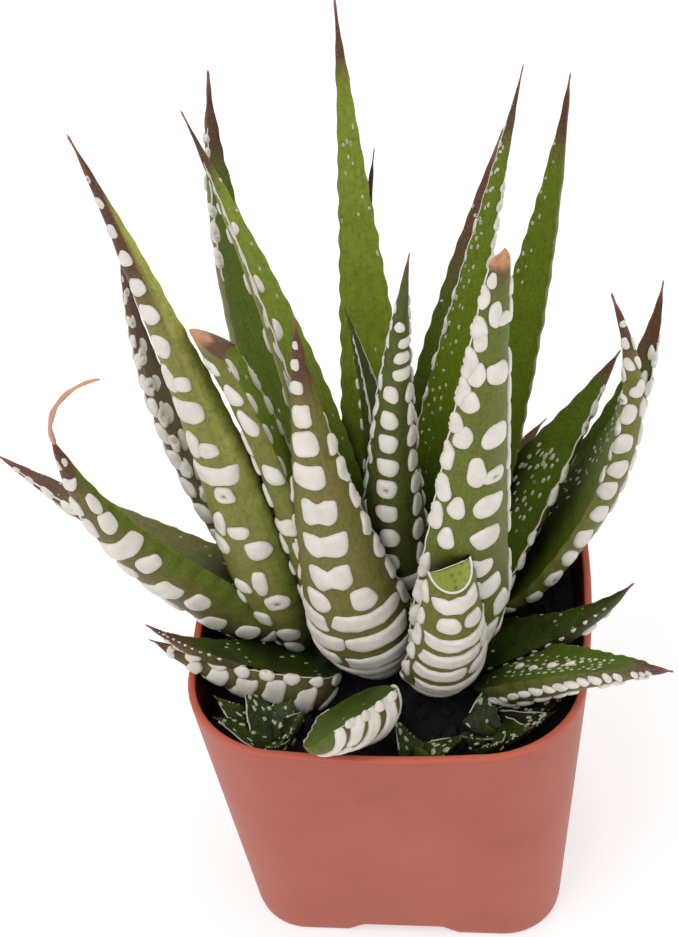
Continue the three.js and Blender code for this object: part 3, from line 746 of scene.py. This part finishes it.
def body_shape(shape, leaf, dress, rings, back, face):
    """The bare leaf: its skin with a closed foot, and a pointed, blunt or cut end."""
    end = dress.get("end", {})
    way = np.concatenate([
        -np.cos(np.linspace(0, math.pi, back + 1))[:-1],
        1 + FACE_ARC * (1 - np.cos(np.linspace(0, math.pi, face + 1)))[:-1],
    ])
    count = len(way)
    share = np.linspace(0, 1, rings) ** 0.96
    grid_share = np.repeat(share, count)
    grid_way = np.tile(way, rings)
    points = leaf.skin(grid_share, grid_way)
    rng = np.random.default_rng(dress["seed"])
    points += leaf.normals(grid_share, grid_way) * (SKIN_LUMPS * hash_noise(rng, points, 5))[:, None]
    along, across, inward = leaf.directions(np.array([0.0, 1.0]))
    half, depth = leaf.size(grid_share)
    # An oblique end: its plane is turned about the inward line, and about the lateral one
    near_end = np.clip((grid_share - END_FROM) / (1 - END_FROM), 0, 1) ** 2
    sideways = (points - leaf.middle(grid_share)) @ across[1]
    outward = -(points - leaf.middle(grid_share)) @ inward[1]
    shift = near_end * (end.get("slant", 0) * sideways - end.get("drop", 0) * outward)
    points += along[1] * (shift - near_end * end.get("short", 0))[:, None]
    smooth_from = dress.get("smooth_from", 0.98)
    inner = np.clip((grid_way - smooth_from) / (0.08 if smooth_from > 0.9 else 0.3), 0, 1)
    inner[::count] = inner[::count].mean() if smooth_from > 2 else 0.5
    tip = tip_share(dress, grid_share)
    if smooth_from < 0.9:
        tip = tip * (1 - inner) + inner * np.clip((grid_share - 0.86) / 0.14, 0, 1)
    light = dress.get("light", 0) * inner * np.clip((grid_share - 0.25) / 0.3, 0, 1)
    if end.get("cut"):
        tip = tip * 0
    blush = np.clip((grid_share - BLUSH["from"]) / BLUSH["over"], 0, 1)
    tip = np.maximum(tip, end.get("blush", 0) * blush)
    base, to_side, to_back = end.get("patch", (0, 0, 0))
    patch = base + to_side * sideways / np.maximum(half, 0.1) + to_back * outward / np.maximum(depth, 0.1)
    dried = np.clip((grid_share - end.get("dried_from", 1)) / DRIED_OVER, 0, 1) * np.clip(patch, 0, 1)
    values = {
        "along": grid_share, "inner": inner * dress.get("green", 1), "tone": dress["tone"] + light,
        "brown": dress["brown"], "tip": tip, "dried": dried, "up": grid_share * leaf.length,
        "round": grid_way * leaf.row["width"] * 0.7 + dress["seed"] * 9,
    }
    foot = rings * count
    start = foot - count
    faces = ring_faces(rings, count) + fan(0, count, foot)
    top = points[-count:]
    centre = top.mean(0)
    added = [leaf.middle(np.array(0.0)) - along[0] * 0.8]
    if end.get("cut"):
        normal = np.cross(top[0] - centre, top[count // 4] - centre)
        normal *= np.sign(normal @ along[1]) / np.linalg.norm(normal)

        def ring(reach, rise):
            return centre + (top - centre) * reach + normal * rise

        rim = ring(0.94, 0.05)
        added += [*rim]
        faces += bridge(start, foot + 1, count)
        wet = np.vstack([rim, ring(0.88, -0.12), ring(0.5, 0.05), centre + normal * 0.1])
        shape.add(wet, ring_faces(3, count) + fan(2 * count, count, 3 * count), CUT)
        hem = [ring(reach, rise) for reach, rise in CUT_HEM]
        shape.add(np.vstack(hem), ring_faces(4, count) + bridge(3 * count, 0, count), TUBERCLE)
    else:
        for j, (shrink, rise) in enumerate(end.get("dome", ((0.5, 0.3),))):
            added += [*(centre + (top - centre) * shrink + along[1] * rise)]
            faces += bridge(start, foot + 1 + j * count, count)
            start = foot + 1 + j * count
        added.append(centre + along[1] * (rise + end.get("point", 0.3)))
        faces += fan(start, count, start + count)
    padded = {}
    for name, value in values.items():
        value = np.broadcast_to(value, (foot,))
        padded[name] = np.concatenate([value, value[:1], np.resize(value[-count:], len(added) - 1)])
    shape.add(np.vstack([points, added]), faces, FLESH, **padded)


def tubercle(shape, leaf, dress, rng, share, way, across, along, tilt=0.0, bend=0.0, beads=1, waist=0.0,
             drop=0.0, square=2.3, height=1.0, slot=TUBERCLE):
    """One raised tubercle on the skin. across runs round the leaf and along up it, both half sizes.
    bend lifts its ends; beads and waist give it narrower places; drop makes it a drop that points up."""
    big = max(across, along)
    segments = int(np.clip(12 + big * 6, 16, 48))
    radii = [0.0, 0.5, 0.76, 0.92, 1.0] if big < 1.2 else [0.0, 0.3, 0.56, 0.76, 0.88, 0.96, 1.0]
    radius = np.repeat(radii[1:], segments)
    angle = np.tile(full_turn(segments), len(radii) - 1)
    power = 2 / square
    x = np.sign(np.cos(angle)) * np.abs(np.cos(angle)) ** power
    y = np.sign(np.sin(angle)) * np.abs(np.sin(angle)) ** power
    wobble = 1 + sum(depth * np.sin(angle * waves + rng.uniform(0, 6)) for depth, waves in WOBBLE)
    x, y = x * radius * wobble, y * radius * wobble
    x, y, radius = np.append(x, 0), np.append(y, 0), np.append(radius, 0)
    if beads > 1:
        y = y * (1 - waist * np.abs(np.cos(math.pi * beads * (x + 1) / 2)) ** 3 * (np.abs(x) < 1 - 1 / beads))
    x = x * (1 - drop * y)
    p = x * across
    q = y * along + bend * (x ** 2 - 0.4)
    turned_p = p * math.cos(tilt) - q * math.sin(tilt)
    turned_q = p * math.sin(tilt) + q * math.cos(tilt)
    at_share = np.clip(share + turned_q / leaf.length, 0.002, 0.998)
    at_way = way + turned_p / (BACK_ARC * max(leaf.half_width(share), 0.4))
    skin = leaf.skin(at_share, at_way)
    normal = leaf.normals(at_share, at_way)
    tall = BEAD_HEIGHT * height * min(1, min(across, along) / 0.8)
    profile = (1 - radius ** 5) ** 0.5
    pit = np.zeros(len(radius))
    if beads == 1 and big < 2.2 and rng.random() < PIT_CHANCE:
        profile = profile - 0.5 * (radius < 0.1)
        pit = 0.9 * (radius < 0.1)
    points = skin + normal * (profile * (tall + BEAD_SUNK) - BEAD_SUNK)[:, None]
    rings = len(radii) - 1
    faces = ring_faces(rings, segments) + fan(0, segments, rings * segments)
    shape.add(points, faces, slot, tip=tip_share(dress, share), pit=pit)


def row_of(kind, shape, leaf, dress, rng, share, half, size):
    """One row of the back's tubercles."""
    arc = BACK_ARC * half
    tall = size * min(1, half / 3.2 + 0.2)

    def reach(most, turn):
        """The smaller of a size and a share of the back's half."""
        return min(most * size, turn * arc)

    def sway(most):
        return rng.uniform(-most, most)

    def put(way, across, along, **more):
        jog = sway(0.3) / leaf.length
        tubercle(shape, leaf, dress, rng, share + jog, way + dress.get("side", 0), across, along, **more)

    if kind == "smile":
        cuts = [-0.82, 0.82]
        if rng.random() < 0.4:
            cuts = [-0.82, sway(0.4), 0.82]
        for low, high in zip(cuts[:-1], cuts[1:]):
            across = (high - low) / 2 * arc - 0.14
            beads = max(1, round(across / 1.5))
            put((low + high) / 2, across, 1.18 * size * min(1.1, half / 5 + 0.3), bend=0.5 * across / arc,
                tilt=sway(0.06), beads=beads, waist=rng.uniform(0.06, 0.2), square=4.0)
    elif kind == "bow":
        put(sway(0.06), reach(2.7, 0.42), 1.75 * tall, bend=0.3, beads=2,
            waist=rng.uniform(0.25, 0.4), square=3.4, tilt=sway(0.08))
    elif kind == "square":
        put(sway(0.06), reach(1.9, 0.45), 1.65 * tall, square=3.4,
            tilt=sway(0.15), drop=rng.uniform(-0.15, 0.1))
    elif kind == "small":
        put(sway(0.12), reach(1.15, 0.42), 1.35 * tall, square=2.8)
    elif kind == "pair":
        for side in (-1, 1):
            put(side * rng.uniform(0.27, 0.36), reach(1.55, 0.25), 1.5 * tall * rng.uniform(0.85, 1.1),
                tilt=sway(0.3), square=2.5)
    elif kind in ("left", "right"):
        side = -1 if kind == "left" else 1
        put(side * rng.uniform(0.16, 0.32), reach(1.0, 0.36), 1.85 * tall,
            tilt=sway(0.12), drop=0.22, square=2.2)
    elif kind == "ear":
        side = rng.choice((-1, 1))
        put(side * 0.2, reach(1.0, 0.22), 1.95 * tall, tilt=sway(0.15))
        share -= 0.9 * size / leaf.length
        put(-side * 0.12, reach(1.3, 0.28), 1.05 * tall, square=2.6)
    elif kind == "oval":
        put(sway(0.06), reach(1.05, 0.34), 1.6 * tall, tilt=sway(0.15),
            drop=rng.uniform(0, 0.2), square=2.4)
    elif kind == "duo":
        put(rng.uniform(-0.42, -0.32), reach(1.35, 0.3), 1.5 * tall, square=2.6)
        put(rng.uniform(0.3, 0.4), reach(0.9, 0.2), 1.85 * tall, drop=0.2, square=2.2)
    elif kind in ("big", "drop"):
        put(rng.uniform(-0.52, -0.42), reach(0.9, 0.2), 1.5 * tall, drop=0.3, square=2.2)
        if kind == "big":
            put(rng.uniform(0.02, 0.16), reach(1.75, 0.32), 1.55 * tall, square=2.5, tilt=sway(0.3))
    elif kind == "bean":
        side = rng.choice((-1, 1))
        put(side * 0.08, reach(2.1, 0.42), 1.35 * tall, tilt=side * rng.uniform(0.35, 0.6), bend=0.4,
            beads=2, waist=0.18, square=2.5)
    elif kind == "wide":
        put(sway(0.1), reach(3.2, 0.62), 1.5 * tall, tilt=sway(0.2),
            bend=0.4, beads=rng.choice((2, 3)), waist=rng.uniform(0.12, 0.25), square=3.4)


def edge_beads(shape, leaf, dress, rng, way, kind, low, high):
    """Beads that follow each other up a leaf, with the thin pale line that joins them."""
    spec = EDGES[kind]
    size = dress["size"]
    distance = low
    while distance < high:
        share = distance / leaf.length
        half = leaf.half_width(share)
        slim = min(1, half / 3.4 + 0.25)
        along = spec["along"] * size * slim * rng.uniform(0.8, 1.15)
        across = spec["across"] * size * slim * rng.uniform(0.85, 1.15)
        if rng.random() > GAP_CHANCE:
            tubercle(shape, leaf, dress, rng, share, way * rng.uniform(0.9, 0.97), across, along,
                     tilt=rng.uniform(-0.12, 0.12), drop=rng.uniform(0.1, 0.35), square=2.15)
        distance += spec["pitch"] * size * slim * rng.uniform(0.92, 1.12)
    if not spec["line"]:
        return
    share = np.linspace(low / leaf.length, min(high / leaf.length, 0.985), int(30 + leaf.length))
    half, _ = leaf.size(share)
    reach = spec["line"] * np.minimum(1, half / 1.5)
    middle = leaf.skin(share, np.full(len(share), way * 0.995))
    _, across, inward = leaf.directions(share)
    sides = 6
    turn = full_turn(sides)
    ring = np.cos(turn)[None, :, None] * across[:, None] + np.sin(turn)[None, :, None] * inward[:, None]
    points = (middle[:, None] + ring * reach[:, None, None]).reshape(-1, 3)
    foot = len(points)
    faces = ring_faces(len(share), sides) + [tuple(range(sides)), tuple(range(foot - sides, foot))]
    shape.add(points, faces, TUBERCLE, tip=np.repeat(tip_share(dress, share), sides))


def dress_leaf(shape, leaf, dress):
    """Rows of tubercles from foot to tip, the margins' beads, and what the inner face carries."""
    rng = np.random.default_rng(dress["seed"])
    size = dress["size"]
    high = leaf.length * dress.get("end", {}).get("bare_from", LAST_ROW)
    distance = FIRST_ROW
    for kind in dress["rows"]:
        share = distance / leaf.length
        if share > high / leaf.length:
            break
        half = leaf.half_width(share)
        row_of(kind, shape, leaf, dress, rng, share, half, size)
        distance += ROW_PITCH[kind] * (0.5 + 0.5 * size) * min(1, 0.55 + half / 8) * rng.uniform(0.94, 1.08)
    while distance < high:
        share = distance / leaf.length
        half = leaf.half_width(share)
        if half > 0.8:
            row_of(rng.choice(("left", "right", "small")), shape, leaf, dress, rng, share, half, size * 0.9)
        distance += FILL_PITCH * (0.5 + 0.5 * size) * rng.uniform(0.9, 1.2)
    for way, kind, start, stop in dress["edges"]:
        low = max(FIRST_ROW, start * leaf.length)
        edge_beads(shape, leaf, dress, rng, way, kind, low, min(high, stop * leaf.length))
    for column, start, stop, count in dress.get("face_pads", ()):
        for i in range(count):
            share = start + (stop - start) * (i + rng.uniform(0.4, 0.6)) / count
            slim = min(1, leaf.half_width(share) / 3.4 + 0.25)
            tubercle(shape, leaf, dress, rng, share, 1 + FACE_ARC * (column + rng.uniform(-0.1, 0.1)),
                     0.85 * size * slim * rng.uniform(0.85, 1.15),
                     1.45 * size * slim * rng.uniform(0.75, 1.15),
                     tilt=rng.uniform(-0.25, 0.25), drop=0.2, square=2.3)
    # Dots, in loose rows up the inner face
    start, stop = dress.get("dot_reach", (0.06, 0.9))
    wide = dress.get("dot_size", 1)
    for column in np.linspace(*dress.get("dot_columns", (0.22, 1.78, 6))):
        distance = start * leaf.length + rng.uniform(0, 3)
        while distance < stop * leaf.length:
            share = distance / leaf.length
            if rng.random() < dress["dots"]:
                way = 1 + FACE_ARC * (column + rng.uniform(-0.06, 0.06))
                tubercle(shape, leaf, dress, rng, share, way, wide * rng.uniform(0.14, 0.26),
                         wide * rng.uniform(0.25, 0.5), height=0.6, slot=DOT)
            distance += rng.uniform(1.6, 3.0)


def curl_shape(shape, leaf):
    """The thin dried end that curls over from a leaf's tip, as a twisted tapering strand."""
    row = dict(leaf.row)
    row.update(length=DRIED_CURL["length"], lean=(row["lean"][1], DRIED_CURL["lean"]),
               aim=DRIED_CURL["aim"], sweep=0, roll=0)
    start = leaf.middle(np.array(1.0)) - leaf.directions(np.array(1.0))[0] * 1.2
    strand = Leaf(row, root=start)
    rings, count = 40, 14
    share = np.linspace(0, 1, rings)
    _, across, inward = strand.directions(share)
    radius = DRIED_CURL["radius"] * (1 - 0.72 * share) * (1 + 0.18 * np.sin(share * 23))
    turn = full_turn(count)
    outlines = []
    for j in range(rings):
        flat = turn + share[j] * 3
        x = np.cos(turn)[:, None] * across[j] * radius[j] * 1.35
        y = np.sin(turn)[:, None] * inward[j] * radius[j] * (0.55 + 0.1 * np.sin(flat))[:, None]
        outlines.append(strand.middle(share[j]) + x + y)
    shape.add(*tube(outlines), DRIED)


# The ends that don't taper to a point. cut: it is cut across; slant and drop: how far the end's plane is
# turned to the side and down the back; short: how many millimetres it is drawn in; patch: how far it has
# dried, in all, towards one side and towards the back; dried_from: the share of the length where that
# starts; blush: how maroon it is; bare_from: the share from which it carries no tubercles; dome: how its last
# rings shrink and rise; point: its last rise.
ENDS = {
    "leaf_right_blunt": dict(
        slant=0.2, patch=(0.9, 0, 0), dried_from=0.985, blush=0.3, bare_from=0.992, point=0.05,
        dome=((0.86, 0.3), (0.62, 0.55), (0.3, 0.7)),
    ),
    "leaf_left_blunt": dict(
        slant=0.5, drop=-1.8, short=2.4, patch=(-1.3, 0.2, 2.8), dried_from=0.975, blush=0.1, bare_from=0.99,
        point=0.02, dome=((0.88, 0.12), (0.6, 0.22), (0.3, 0.28)),
    ),
    "leaf_front_cut": dict(cut=True, slant=0.1, drop=0.75, bare_from=0.93),
    "leaf_rim_front": dict(
        bare_from=0.99, point=0.1, dome=((0.94, 0.7), (0.82, 1.3), (0.6, 1.8), (0.32, 2.1)),
    ),
}


def make_leaf(name, seed, materials):
    leaf = Leaf(dict(zip(LEAF_VALUES, LEAVES[name])))
    dress = {**DRESS[name], "seed": seed, "end": ENDS.get(name, {})}
    shape = Shape()
    body_shape(shape, leaf, dress, rings=int(40 + leaf.length), back=26, face=16)
    dress_leaf(shape, leaf, dress)
    if name == DRIED_CURL["leaf"]:
        curl_shape(shape, leaf)
    piece = shape.build(name + "_look", materials)
    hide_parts(name)
    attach(piece, "root")


def make_offset(name, materials):
    """A small rosette whose leaves have pale windows and light margins."""
    spec = OFFSETS[name]
    shape = Shape()
    root = (*spec["place"], OFFSET_LIFT)
    for i, (aim, lean, length, width) in enumerate(spec["leaves"]):
        leaf = Leaf(dict(aim=aim, lean=lean, length=length, width=width, thick=OFFSET_THICK), root=root)
        dress = dict(
            tone=0.0, brown=0.1, ruddy=0.9, rows=["left", "right", "small"], size=0.4, seed=spec["seed"] + i,
            edges=[(-1, "teeth", 0.1, 0.9), (1, "thin", 0.1, 0.9)], dots=0.5, dot_size=1.3,
        )
        body_shape(shape, leaf, dress, rings=30, back=20, face=12)
        dress_leaf(shape, leaf, dress)
    heart = Leaf(dict(aim=0, lean=(0, 0), length=6.2, width=5.2, thick=1.0), root=(root[0], root[1], 38.9))
    dress = dict(tone=0.2, brown=0.1, ruddy=1.0, seed=spec["seed"])
    body_shape(shape, heart, dress, rings=14, back=16, face=8)
    piece = shape.build(name + "_look", materials)
    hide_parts(name)
    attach(piece, "root")


# Pot, soil and stem


def pot_outline(z, inset, steps=14, sides=14):
    """The pot's outline at a height: a square with round corners whose sides bow out a little."""
    up = z / POT_HEIGHT
    half = FOOT_HALF + (RIM_HALF - FOOT_HALF) * up - inset
    corner = max(FOOT_CORNER + (RIM_CORNER - FOOT_CORNER) * up - inset, 0.4)
    bow = RIM_BOW * up
    edge = half - bow - corner
    points = []
    for quarter in range(4):
        side = np.linspace(-1, 1, sides + 1)[1:-1]
        flat = np.stack([half - bow * side ** 2, side * edge], -1)
        angle = np.linspace(0, math.pi / 2, steps + 1)
        round_ = np.stack([edge + corner * np.cos(angle), edge + corner * np.sin(angle)], -1)
        turn = quarter * math.pi / 2
        spin = np.array([[math.cos(turn), math.sin(turn)], [-math.sin(turn), math.cos(turn)]])
        points.append(np.vstack([flat, round_]) @ spin)
    points = np.vstack(points)
    return np.column_stack([points, np.full(len(points), z)])


def loft(rings, inside=None):
    """A closed shape from outline rings, with how far each ring is inside."""
    shape = Shape()
    shade = 0.0 if inside is None else np.append(np.repeat(inside, len(rings[0])), [inside[0], inside[-1]])
    shape.add(*tube(rings), inside=shade)
    return shape


def cut_with(piece, cutter):
    """Cuts a closed piece with another, and removes the cutter."""
    modifier = piece.modifiers.new("cut", "BOOLEAN")
    modifier.operation = "DIFFERENCE"
    modifier.solver = "MANIFOLD"
    modifier.object = cutter
    bpy.context.view_layer.objects.active = piece
    with bpy.context.temp_override(object=piece, active_object=piece):
        bpy.ops.object.modifier_apply(modifier=modifier.name)
    bpy.data.objects.remove(cutter)


def notch_shape():
    """What cuts the arched notch in the foot of the front side: flat on top, with two S-shaped flanks."""
    flank = np.linspace(0, 1, 13)
    wide, flat = NOTCH["width"] / 2, NOTCH["flat"] / 2
    reach = flat + (wide - flat) * (1 - flank)
    rise = NOTCH["height"] * (0.5 - 0.5 * np.cos(math.pi * flank))
    outline = [*zip(-reach, rise), *zip(reach[::-1], rise[::-1]), (wide, -1), (-wide, -1)]
    count = len(outline)
    near, far = -FOOT_HALF - 2, NOTCH["depth"] - FOOT_HALF
    shape = Shape()
    shape.add(
        [(x, y, z) for y in (near, far) for x, z in outline],
        [tuple(range(count)), tuple(range(count, 2 * count))] + bridge(0, count, count),
    )
    return shape


def make_pot(material):
    """One thin moulded shell: outside up to a rounded rim, then down the inside to its floor."""
    # Each ring: its height, its inset and how far inside it is, which darkens the colour as painted shade
    rings = [
        (0, 3.0, 0), (0, 1.0, 0), (0.12, 0.4, 0), (0.5, 0.1, 0), (1.4, 0, 0),
        *[(z, 0, 0) for z in np.linspace(4, POT_HEIGHT - 1.0, 12)],
        (POT_HEIGHT - 0.35, 0.03, 0), (POT_HEIGHT - 0.1, 0.16, 0), (POT_HEIGHT, 0.42, 0),
        (POT_HEIGHT, WALL - 0.4, 0), (POT_HEIGHT - 0.12, WALL - 0.14, 0.3), (POT_HEIGHT - 0.5, WALL, 1),
        *[(z, WALL, 1) for z in np.linspace(POT_HEIGHT - 3, FLOOR + 2, 8)],
        (FLOOR + 0.6, WALL + 0.5, 1), (FLOOR, WALL + 1.4, 1), (FLOOR, WALL + 5, 1),
    ]
    shape = loft([pot_outline(z, inset) for z, inset, _ in rings], [inside for _, _, inside in rings])
    pot = shape.build("pot_look", [material], sharp=40)
    drain = [circle(DRAIN["radius"], z, DRAIN["from_centre"]) for z in (-1, FLOOR + 1)]
    tools = {"notch": notch_shape(), "drain": loft(drain)}
    for quarter in range(4):
        for name, tool in tools.items():
            cutter = tool.build(name, [])
            cutter.data.transform(Matrix.Rotation(quarter * math.pi / 2, 4, "Z"))
            cut_with(pot, cutter)
    pot.data.shade_smooth()
    pot.data.set_sharp_from_angle(angle=math.radians(40))
    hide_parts("pot")
    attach(pot, "root")


def make_soil(material):
    """The body of soil with a lumpy top, and loose grains and bits of bark on it."""
    rng = np.random.default_rng(7)
    wall = WALL + CLEARANCE
    rings = [pot_outline(FLOOR + CLEARANCE, wall + 1.6), pot_outline(FLOOR + 2, wall + 0.1)]
    rings += [pot_outline(z, wall) for z in (15, 28, SOIL["top"] - 0.8)]
    top = pot_outline(SOIL["top"], wall)
    for share in np.linspace(0.985, 0.04, 34):
        ring = top.copy()
        ring[:, :2] *= share
        swell = 0.5 * hash_noise(np.random.default_rng(3), ring, 7)
        ring[:, 2] += swell + 0.28 * hash_noise(np.random.default_rng(4), ring, 2.2)
        rings.append(ring)
    shape = loft(rings)
    ball = unit_ball()
    reach = RIM_HALF - 3.2
    for _ in range(SOIL["grains"]):
        x, y = rng.uniform(-reach, reach, 2)
        past = [max(abs(v) - SOIL["flat_half"], 0) for v in (x, y)]
        if math.hypot(*past) > SOIL["corner"]:
            continue
        radius = rng.uniform(0.35, 0.95) if rng.random() < 0.85 else rng.uniform(1.0, 1.7)
        stretch = rng.uniform(0.55, 1.5, 3) * radius
        points = ball[0] * stretch
        points += ball[0] * (0.22 * radius * hash_noise(rng, points, radius * 1.2))[:, None]
        spin = np.array(Matrix.Rotation(rng.uniform(0, 6.3), 3, Vector(rng.normal(size=3))))
        points = points @ spin.T + (x, y, SOIL["top"] + rng.uniform(-0.1, 0.45) * radius)
        shape.add(points, ball[1])
    piece = shape.build("soil_look", [material], sharp=35)
    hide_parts("soil")
    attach(piece, "root")


def unit_ball():
    """An icosphere's points and faces."""
    ball = bmesh.new()
    bmesh.ops.create_icosphere(ball, subdivisions=2, radius=1)
    points = np.array([v.co[:] for v in ball.verts])
    faces = [tuple(v.index for v in f.verts) for f in ball.faces]
    ball.free()
    return points, faces


def make_stem(material):
    """The short stem, ringed by the scars of old leaves."""
    rings = []
    for share in np.linspace(0, 1, 40):
        z = STEM["low"] + (STEM["high"] - STEM["low"]) * share
        radius = STEM["low_radius"] + (STEM["high_radius"] - STEM["low_radius"]) * share
        rings.append(circle(radius - 0.25 * abs(math.sin(share * 7 * math.pi)), z))
    piece = loft(rings).build("stem_look", [material])
    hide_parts("stem")
    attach(piece, "root")


# Stage, lights and camera

FLOOR_REACH = 1.5


def make_floor():
    mesh = bpy.data.meshes.new("floor")
    corners = [(x * FLOOR_REACH, y * FLOOR_REACH, 0) for x, y in ((-1, -1), (1, -1), (1, 1), (-1, 1))]
    mesh.from_pydata(corners, [], [(0, 1, 2, 3)])
    material, _ = new_material("floor_white")
    glow = {"Emission_Color": (1, 1, 1, 1), "Emission_Strength": 0.55}
    mesh.materials.append(finish(material, (0.5, 0.5, 0.5, 1), 0.9, **glow))
    floor = bpy.data.objects.new("floor", mesh)
    bpy.context.scene.collection.objects.link(floor)


def add_area_light(name, place, aim, size, watts):
    data = bpy.data.lights.new(name, "AREA")
    data.shape = "SQUARE"
    data.size = size
    data.energy = watts
    light = bpy.data.objects.new(name, data)
    light.location = place
    light.rotation_euler = (Vector(aim) - Vector(place)).to_track_quat("-Z", "Y").to_euler()
    bpy.context.scene.collection.objects.link(light)


def make_lights():
    world = bpy.data.worlds.new("studio")
    world.use_nodes = True
    world.node_tree.nodes["Background"].inputs["Color"].default_value = (1, 1, 1, 1)
    world.node_tree.nodes["Background"].inputs["Strength"].default_value = 0.66
    bpy.context.scene.world = world
    middle = (0, 0, 0.06)
    add_area_light("key", (-0.3, -0.35, 0.8), middle, 0.5, 2.8)
    add_area_light("fill", (0.6, -0.3, 0.5), middle, 0.6, 0.8)
    add_area_light("back", (0.1, 0.55, 0.8), middle, 0.6, 2.4)


def make_camera():
    azimuth, elevation, roll = (math.radians(CAMERA[k]) for k in ("azimuth", "elevation", "roll"))
    level_back = Vector((math.sin(azimuth), -math.cos(azimuth), 0))
    back = level_back * math.cos(elevation) + Vector((0, 0, math.sin(elevation)))
    level = Vector((math.cos(azimuth), math.sin(azimuth), 0))
    up = back.cross(level)
    right = level * math.cos(roll) + up * math.sin(roll)
    top = up * math.cos(roll) - level * math.sin(roll)
    data = bpy.data.cameras.new("camera")
    data.sensor_width = SENSOR
    data.lens = SENSOR * FOCAL_PX / PHOTO_HEIGHT
    camera = bpy.data.objects.new("camera", data)
    place = (Vector(CAMERA["target"]) + back * CAMERA["distance"]) * MM
    camera.matrix_world = Matrix.Translation(place) @ Matrix((right, top, back)).transposed().to_4x4()
    bpy.context.scene.collection.objects.link(camera)
    bpy.context.scene.camera = camera
    bpy.context.scene.view_settings.view_transform = "Standard"


make_camera()
make_floor()
make_lights()
make_pot(pot_material())
make_soil(soil_material())
make_stem(stem_material())
leaf_materials = [flesh_material(), tubercle_material(), dot_material(), cut_material(), dried_material()]
for leaf_seed, leaf_name in enumerate(LEAVES, 1):
    make_leaf(leaf_name, leaf_seed, leaf_materials)
for offset_name in OFFSETS:
    make_offset(offset_name, leaf_materials)
